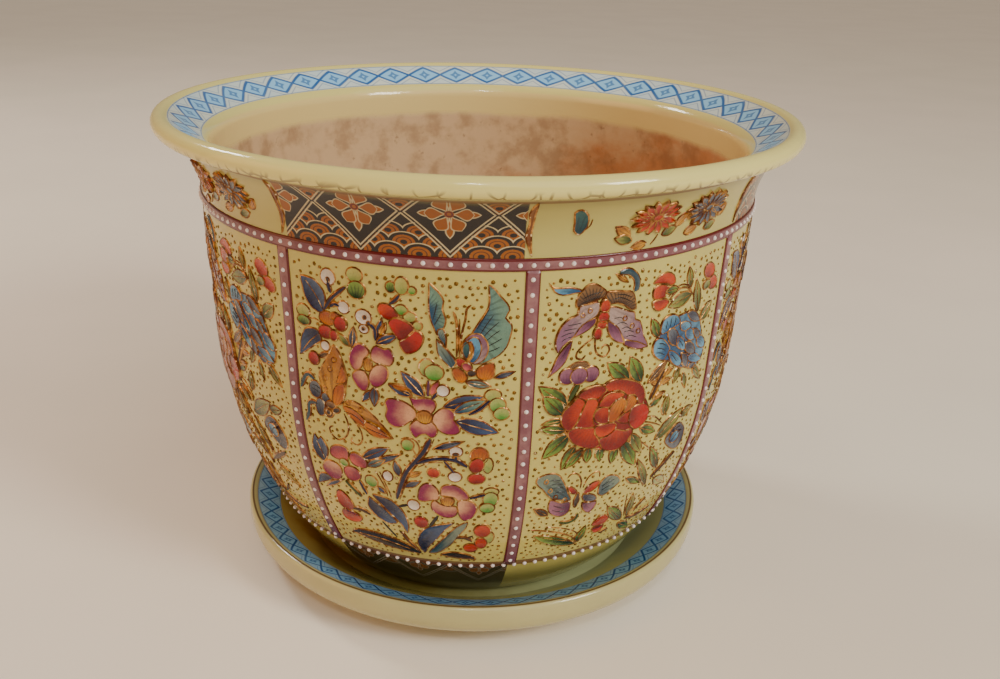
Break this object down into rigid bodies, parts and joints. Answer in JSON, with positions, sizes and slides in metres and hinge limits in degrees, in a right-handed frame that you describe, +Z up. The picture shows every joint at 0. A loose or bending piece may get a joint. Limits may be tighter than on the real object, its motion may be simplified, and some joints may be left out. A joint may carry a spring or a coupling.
{
  "type": "cachepot with saucer",
  "caption": "Glazed bell-bodied planter with a wide rolled lip, raised enamel bands and beads, standing in a matching saucer.",
  "frame": {"origin": "under the middle of the saucer's foot ring, on the surface it stands on", "axes": "+Z up along the axis of pot and saucer, -Y through the middle of a flower panel"},
  "size_m": [0.3, 0.3, 0.2281],
  "materials": {
    "saucer_glaze": "gloss",
    "pot_glaze": "gloss",
    "mauve_enamel": "gloss",
    "white_enamel": "gloss",
    "flower_enamel": "gloss"
  },
  "bodies": {
    "saucer": {"saucer": "saucer_glaze"},
    "pot": {"cachepot": "pot_glaze", "belt_band": "mauve_enamel", "panel_band_1": "mauve_enamel", "panel_band_2": "mauve_enamel", "panel_band_3": "mauve_enamel", "panel_band_4": "mauve_enamel", "panel_band_5": "mauve_enamel", "panel_band_6": "mauve_enamel", "panel_band_7": "mauve_enamel", "panel_band_8": "mauve_enamel", "belt_beads": "white_enamel", "foot_beads": "white_enamel", "panel_beads": "white_enamel", "raised_flowers_1": "flower_enamel", "raised_flowers_2": "flower_enamel", "raised_flowers_3": "flower_enamel", "raised_flowers_4": "flower_enamel", "raised_flowers_5": "flower_enamel", "raised_flowers_6": "flower_enamel", "raised_flowers_7": "flower_enamel", "raised_flowers_8": "flower_enamel"}
  },
  "joints": [
    {"name": "pot_lift", "type": "slide", "parent": "saucer", "child": "pot", "axis": [0, 0, 1], "range_m": [0, 0.08]}
  ]
}
